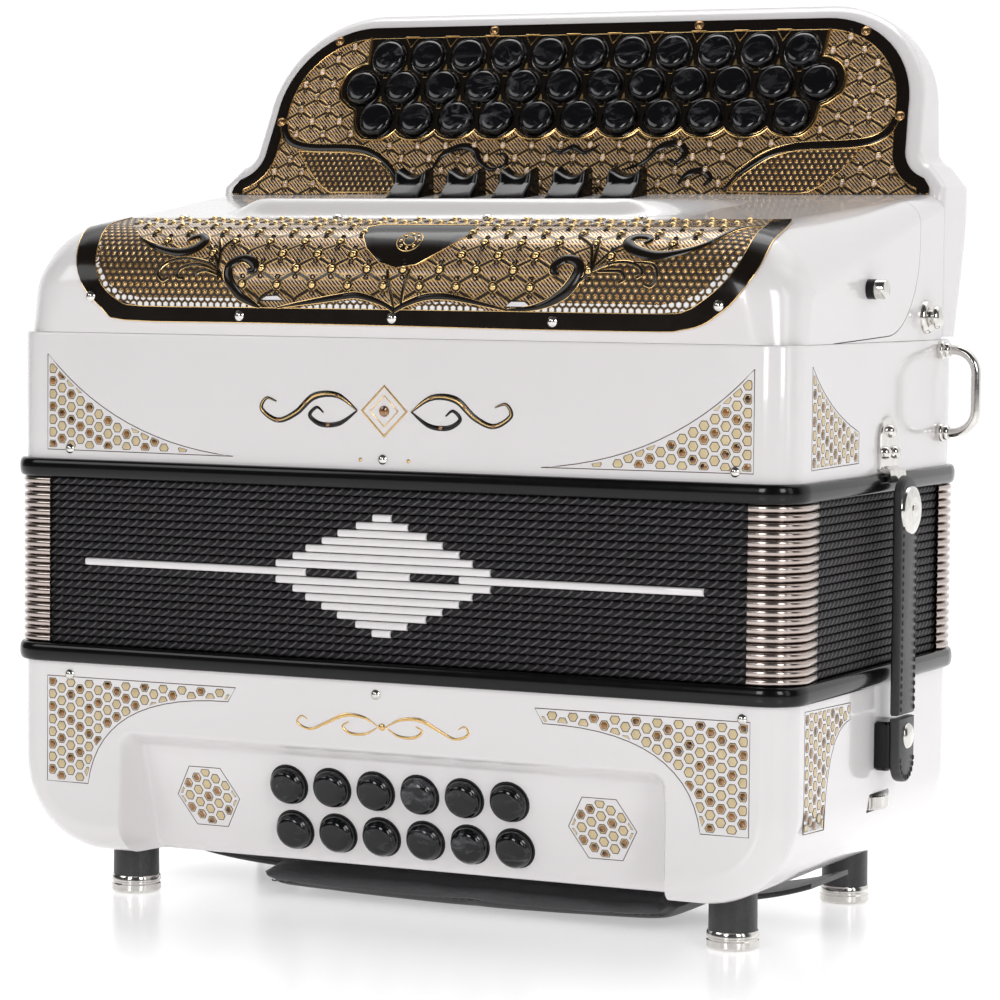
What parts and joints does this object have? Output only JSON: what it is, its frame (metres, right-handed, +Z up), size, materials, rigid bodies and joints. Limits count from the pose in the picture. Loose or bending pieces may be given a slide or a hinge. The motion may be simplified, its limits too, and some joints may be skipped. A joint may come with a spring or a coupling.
{
  "type": "diatonic button accordion",
  "caption": "Diatonic button accordion standing on its bass feet: grille cover, sloping fingerboard of sprung buttons, register switches, folding bellows and sprung bass buttons.",
  "frame": {"origin": "on the table, under the middle of the bounding box of the closed instrument as it stands on its bass feet", "axes": "+Z up, from bass side to treble side, along the bellows; -Y the front, which holds the bass buttons and the grille; +X along the button rows, to the end with the bellows strap"},
  "size_m": [0.3636, 0.201, 0.359],
  "materials": {
    "white_celluloid": "polished warm white celluloid",
    "black_celluloid": "polished black celluloid",
    "dark_pearl": "polished dark pearl, smoky grey streaks in black",
    "gold_plate": "gilt pressed lattice with a black mirror border",
    "bellows_cloth": "black grained bellows paper and cloth",
    "black_leather": "black stitched leather",
    "nickel": "polished nickel"
  },
  "bodies": {
    "bass_side": {"bass_casing": "white_celluloid", "hand_strap": "black_leather", "bellows": "bellows_cloth"},
    "treble_side": {"treble_casing": "white_celluloid", "grille_cover": "white_celluloid", "fingerboard_plate": "gold_plate"},
    "bellows_strap": {"bellows_strap": "black_leather"},
    "strap_adjuster_wheel": {"strap_adjuster_wheel": "nickel"},
    "air_button": {"air_button": "black_celluloid"},
    "treble_button_1_01": {"treble_button_1_01": "dark_pearl"},
    "treble_button_1_02": {"treble_button_1_02": "dark_pearl"},
    "treble_button_1_03": {"treble_button_1_03": "dark_pearl"},
    "treble_button_1_04": {"treble_button_1_04": "dark_pearl"},
    "treble_button_1_05": {"treble_button_1_05": "dark_pearl"},
    "treble_button_1_06": {"treble_button_1_06": "dark_pearl"},
    "treble_button_1_07": {"treble_button_1_07": "dark_pearl"},
    "treble_button_1_08": {"treble_button_1_08": "dark_pearl"},
    "treble_button_1_09": {"treble_button_1_09": "dark_pearl"},
    "treble_button_1_10": {"treble_button_1_10": "dark_pearl"},
    "treble_button_1_11": {"treble_button_1_11": "dark_pearl"},
    "treble_button_2_01": {"treble_button_2_01": "dark_pearl"},
    "treble_button_2_02": {"treble_button_2_02": "dark_pearl"},
    "treble_button_2_03": {"treble_button_2_03": "dark_pearl"},
    "treble_button_2_04": {"treble_button_2_04": "dark_pearl"},
    "treble_button_2_05": {"treble_button_2_05": "dark_pearl"},
    "treble_button_2_06": {"treble_button_2_06": "dark_pearl"},
    "treble_button_2_07": {"treble_button_2_07": "dark_pearl"},
    "treble_button_2_08": {"treble_button_2_08": "dark_pearl"},
    "treble_button_2_09": {"treble_button_2_09": "dark_pearl"},
    "treble_button_2_10": {"treble_button_2_10": "dark_pearl"},
    "treble_button_2_11": {"treble_button_2_11": "dark_pearl"},
    "treble_button_2_12": {"treble_button_2_12": "dark_pearl"},
    "treble_button_3_01": {"treble_button_3_01": "dark_pearl"},
    "treble_button_3_02": {"treble_button_3_02": "dark_pearl"},
    "treble_button_3_03": {"treble_button_3_03": "dark_pearl"},
    "treble_button_3_04": {"treble_button_3_04": "dark_pearl"},
    "treble_button_3_05": {"treble_button_3_05": "dark_pearl"},
    "treble_button_3_06": {"treble_button_3_06": "dark_pearl"},
    "treble_button_3_07": {"treble_button_3_07": "dark_pearl"},
    "treble_button_3_08": {"treble_button_3_08": "dark_pearl"},
    "treble_button_3_09": {"treble_button_3_09": "dark_pearl"},
    "treble_button_3_10": {"treble_button_3_10": "dark_pearl"},
    "treble_button_3_11": {"treble_button_3_11": "dark_pearl"},
    "bass_button_1_1": {"bass_button_1_1": "dark_pearl"},
    "bass_button_1_2": {"bass_button_1_2": "dark_pearl"},
    "bass_button_1_3": {"bass_button_1_3": "dark_pearl"},
    "bass_button_1_4": {"bass_button_1_4": "dark_pearl"},
    "bass_button_1_5": {"bass_button_1_5": "dark_pearl"},
    "bass_button_1_6": {"bass_button_1_6": "dark_pearl"},
    "bass_button_2_1": {"bass_button_2_1": "dark_pearl"},
    "bass_button_2_2": {"bass_button_2_2": "dark_pearl"},
    "bass_button_2_3": {"bass_button_2_3": "dark_pearl"},
    "bass_button_2_4": {"bass_button_2_4": "dark_pearl"},
    "bass_button_2_5": {"bass_button_2_5": "dark_pearl"},
    "bass_button_2_6": {"bass_button_2_6": "dark_pearl"},
    "register_switch_1": {"register_switch_1": "black_celluloid"},
    "register_switch_2": {"register_switch_2": "black_celluloid"},
    "register_switch_3": {"register_switch_3": "black_celluloid"},
    "register_switch_4": {"register_switch_4": "black_celluloid"},
    "register_switch_5": {"register_switch_5": "black_celluloid"}
  },
  "joints": [
    {"name": "bellows_expand", "type": "slide", "parent": "bass_side", "child": "treble_side", "axis": [0, 0, 1], "range_m": [0, 0.3], "deforming": ["bellows"]},
    {"name": "bellows_strap_hinge", "type": "hinge", "parent": "bass_side", "child": "bellows_strap", "pos_m": [0.177, -0.0018, 0.0832], "axis": [0, 1, 0], "range_deg": [0, 95]},
    {"name": "strap_adjuster_spin", "type": "hinge", "parent": "bass_side", "child": "strap_adjuster_wheel", "pos_m": [0.157, -0.0035, 0.05], "axis": [0, 0, 1], "continuous": true},
    {"name": "air_button_press", "type": "slide", "parent": "bass_side", "child": "air_button", "axis": [0, -1, 0], "range_m": [0, 0.005], "stiffness_N_per_m": 120},
    {"name": "treble_button_1_01_press", "type": "slide", "parent": "treble_side", "child": "treble_button_1_01", "axis": [0, 0.9223, -0.3866], "range_m": [0, 0.0025], "stiffness_N_per_m": 120},
    {"name": "treble_button_1_02_press", "type": "slide", "parent": "treble_side", "child": "treble_button_1_02", "axis": [0, 0.9223, -0.3866], "range_m": [0, 0.0025], "stiffness_N_per_m": 120},
    {"name": "treble_button_1_03_press", "type": "slide", "parent": "treble_side", "child": "treble_button_1_03", "axis": [0, 0.9223, -0.3866], "range_m": [0, 0.0025], "stiffness_N_per_m": 120},
    {"name": "treble_button_1_04_press", "type": "slide", "parent": "treble_side", "child": "treble_button_1_04", "axis": [0, 0.9223, -0.3866], "range_m": [0, 0.0025], "stiffness_N_per_m": 120},
    {"name": "treble_button_1_05_press", "type": "slide", "parent": "treble_side", "child": "treble_button_1_05", "axis": [0, 0.9223, -0.3866], "range_m": [0, 0.0025], "stiffness_N_per_m": 120},
    {"name": "treble_button_1_06_press", "type": "slide", "parent": "treble_side", "child": "treble_button_1_06", "axis": [0, 0.9223, -0.3866], "range_m": [0, 0.0025], "stiffness_N_per_m": 120},
    {"name": "treble_button_1_07_press", "type": "slide", "parent": "treble_side", "child": "treble_button_1_07", "axis": [0, 0.9223, -0.3866], "range_m": [0, 0.0025], "stiffness_N_per_m": 120},
    {"name": "treble_button_1_08_press", "type": "slide", "parent": "treble_side", "child": "treble_button_1_08", "axis": [0, 0.9223, -0.3866], "range_m": [0, 0.0025], "stiffness_N_per_m": 120},
    {"name": "treble_button_1_09_press", "type": "slide", "parent": "treble_side", "child": "treble_button_1_09", "axis": [0, 0.9223, -0.3866], "range_m": [0, 0.0025], "stiffness_N_per_m": 120},
    {"name": "treble_button_1_10_press", "type": "slide", "parent": "treble_side", "child": "treble_button_1_10", "axis": [0, 0.9223, -0.3866], "range_m": [0, 0.0025], "stiffness_N_per_m": 120},
    {"name": "treble_button_1_11_press", "type": "slide", "parent": "treble_side", "child": "treble_button_1_11", "axis": [0, 0.9223, -0.3866], "range_m": [0, 0.0025], "stiffness_N_per_m": 120},
    {"name": "treble_button_2_01_press", "type": "slide", "parent": "treble_side", "child": "treble_button_2_01", "axis": [0, 0.9223, -0.3866], "range_m": [0, 0.0025], "stiffness_N_per_m": 120},
    {"name": "treble_button_2_02_press", "type": "slide", "parent": "treble_side", "child": "treble_button_2_02", "axis": [0, 0.9223, -0.3866], "range_m": [0, 0.0025], "stiffness_N_per_m": 120},
    {"name": "treble_button_2_03_press", "type": "slide", "parent": "treble_side", "child": "treble_button_2_03", "axis": [0, 0.9223, -0.3866], "range_m": [0, 0.0025], "stiffness_N_per_m": 120},
    {"name": "treble_button_2_04_press", "type": "slide", "parent": "treble_side", "child": "treble_button_2_04", "axis": [0, 0.9223, -0.3866], "range_m": [0, 0.0025], "stiffness_N_per_m": 120},
    {"name": "treble_button_2_05_press", "type": "slide", "parent": "treble_side", "child": "treble_button_2_05", "axis": [0, 0.9223, -0.3866], "range_m": [0, 0.0025], "stiffness_N_per_m": 120},
    {"name": "treble_button_2_06_press", "type": "slide", "parent": "treble_side", "child": "treble_button_2_06", "axis": [0, 0.9223, -0.3866], "range_m": [0, 0.0025], "stiffness_N_per_m": 120},
    {"name": "treble_button_2_07_press", "type": "slide", "parent": "treble_side", "child": "treble_button_2_07", "axis": [0, 0.9223, -0.3866], "range_m": [0, 0.0025], "stiffness_N_per_m": 120},
    {"name": "treble_button_2_08_press", "type": "slide", "parent": "treble_side", "child": "treble_button_2_08", "axis": [0, 0.9223, -0.3866], "range_m": [0, 0.0025], "stiffness_N_per_m": 120},
    {"name": "treble_button_2_09_press", "type": "slide", "parent": "treble_side", "child": "treble_button_2_09", "axis": [0, 0.9223, -0.3866], "range_m": [0, 0.0025], "stiffness_N_per_m": 120},
    {"name": "treble_button_2_10_press", "type": "slide", "parent": "treble_side", "child": "treble_button_2_10", "axis": [0, 0.9223, -0.3866], "range_m": [0, 0.0025], "stiffness_N_per_m": 120},
    {"name": "treble_button_2_11_press", "type": "slide", "parent": "treble_side", "child": "treble_button_2_11", "axis": [0, 0.9223, -0.3866], "range_m": [0, 0.0025], "stiffness_N_per_m": 120},
    {"name": "treble_button_2_12_press", "type": "slide", "parent": "treble_side", "child": "treble_button_2_12", "axis": [0, 0.9223, -0.3866], "range_m": [0, 0.0025], "stiffness_N_per_m": 120},
    {"name": "treble_button_3_01_press", "type": "slide", "parent": "treble_side", "child": "treble_button_3_01", "axis": [0, 0.9223, -0.3866], "range_m": [0, 0.0025], "stiffness_N_per_m": 120},
    {"name": "treble_button_3_02_press", "type": "slide", "parent": "treble_side", "child": "treble_button_3_02", "axis": [0, 0.9223, -0.3866], "range_m": [0, 0.0025], "stiffness_N_per_m": 120},
    {"name": "treble_button_3_03_press", "type": "slide", "parent": "treble_side", "child": "treble_button_3_03", "axis": [0, 0.9223, -0.3866], "range_m": [0, 0.0025], "stiffness_N_per_m": 120},
    {"name": "treble_button_3_04_press", "type": "slide", "parent": "treble_side", "child": "treble_button_3_04", "axis": [0, 0.9223, -0.3866], "range_m": [0, 0.0025], "stiffness_N_per_m": 120},
    {"name": "treble_button_3_05_press", "type": "slide", "parent": "treble_side", "child": "treble_button_3_05", "axis": [0, 0.9223, -0.3866], "range_m": [0, 0.0025], "stiffness_N_per_m": 120},
    {"name": "treble_button_3_06_press", "type": "slide", "parent": "treble_side", "child": "treble_button_3_06", "axis": [0, 0.9223, -0.3866], "range_m": [0, 0.0025], "stiffness_N_per_m": 120},
    {"name": "treble_button_3_07_press", "type": "slide", "parent": "treble_side", "child": "treble_button_3_07", "axis": [0, 0.9223, -0.3866], "range_m": [0, 0.0025], "stiffness_N_per_m": 120},
    {"name": "treble_button_3_08_press", "type": "slide", "parent": "treble_side", "child": "treble_button_3_08", "axis": [0, 0.9223, -0.3866], "range_m": [0, 0.0025], "stiffness_N_per_m": 120},
    {"name": "treble_button_3_09_press", "type": "slide", "parent": "treble_side", "child": "treble_button_3_09", "axis": [0, 0.9223, -0.3866], "range_m": [0, 0.0025], "stiffness_N_per_m": 120},
    {"name": "treble_button_3_10_press", "type": "slide", "parent": "treble_side", "child": "treble_button_3_10", "axis": [0, 0.9223, -0.3866], "range_m": [0, 0.0025], "stiffness_N_per_m": 120},
    {"name": "treble_button_3_11_press", "type": "slide", "parent": "treble_side", "child": "treble_button_3_11", "axis": [0, 0.9223, -0.3866], "range_m": [0, 0.0025], "stiffness_N_per_m": 120},
    {"name": "bass_button_1_1_press", "type": "slide", "parent": "bass_side", "child": "bass_button_1_1", "axis": [0, 0.9622, 0.2723], "range_m": [0, 0.004], "stiffness_N_per_m": 120},
    {"name": "bass_button_1_2_press", "type": "slide", "parent": "bass_side", "child": "bass_button_1_2", "axis": [0, 0.9622, 0.2723], "range_m": [0, 0.004], "stiffness_N_per_m": 120},
    {"name": "bass_button_1_3_press", "type": "slide", "parent": "bass_side", "child": "bass_button_1_3", "axis": [0, 0.9622, 0.2723], "range_m": [0, 0.004], "stiffness_N_per_m": 120},
    {"name": "bass_button_1_4_press", "type": "slide", "parent": "bass_side", "child": "bass_button_1_4", "axis": [0, 0.9622, 0.2723], "range_m": [0, 0.004], "stiffness_N_per_m": 120},
    {"name": "bass_button_1_5_press", "type": "slide", "parent": "bass_side", "child": "bass_button_1_5", "axis": [0, 0.9622, 0.2723], "range_m": [0, 0.004], "stiffness_N_per_m": 120},
    {"name": "bass_button_1_6_press", "type": "slide", "parent": "bass_side", "child": "bass_button_1_6", "axis": [0, 0.9622, 0.2723], "range_m": [0, 0.004], "stiffness_N_per_m": 120},
    {"name": "bass_button_2_1_press", "type": "slide", "parent": "bass_side", "child": "bass_button_2_1", "axis": [0, 0.9622, 0.2723], "range_m": [0, 0.004], "stiffness_N_per_m": 120},
    {"name": "bass_button_2_2_press", "type": "slide", "parent": "bass_side", "child": "bass_button_2_2", "axis": [0, 0.9622, 0.2723], "range_m": [0, 0.004], "stiffness_N_per_m": 120},
    {"name": "bass_button_2_3_press", "type": "slide", "parent": "bass_side", "child": "bass_button_2_3", "axis": [0, 0.9622, 0.2723], "range_m": [0, 0.004], "stiffness_N_per_m": 120},
    {"name": "bass_button_2_4_press", "type": "slide", "parent": "bass_side", "child": "bass_button_2_4", "axis": [0, 0.9622, 0.2723], "range_m": [0, 0.004], "stiffness_N_per_m": 120},
    {"name": "bass_button_2_5_press", "type": "slide", "parent": "bass_side", "child": "bass_button_2_5", "axis": [0, 0.9622, 0.2723], "range_m": [0, 0.004], "stiffness_N_per_m": 120},
    {"name": "bass_button_2_6_press", "type": "slide", "parent": "bass_side", "child": "bass_button_2_6", "axis": [0, 0.9622, 0.2723], "range_m": [0, 0.004], "stiffness_N_per_m": 120},
    {"name": "register_switch_1_press", "type": "slide", "parent": "treble_side", "child": "register_switch_1", "axis": [0, 0, -1], "range_m": [0, 0.003], "stiffness_N_per_m": 120},
    {"name": "register_switch_2_press", "type": "slide", "parent": "treble_side", "child": "register_switch_2", "axis": [0, 0, -1], "range_m": [0, 0.003], "stiffness_N_per_m": 120},
    {"name": "register_switch_3_press", "type": "slide", "parent": "treble_side", "child": "register_switch_3", "axis": [0, 0, -1], "range_m": [0, 0.003], "stiffness_N_per_m": 120},
    {"name": "register_switch_4_press", "type": "slide", "parent": "treble_side", "child": "register_switch_4", "axis": [0, 0, -1], "range_m": [0, 0.003], "stiffness_N_per_m": 120},
    {"name": "register_switch_5_press", "type": "slide", "parent": "treble_side", "child": "register_switch_5", "axis": [0, 0, -1], "range_m": [0, 0.003], "stiffness_N_per_m": 120}
  ]
}
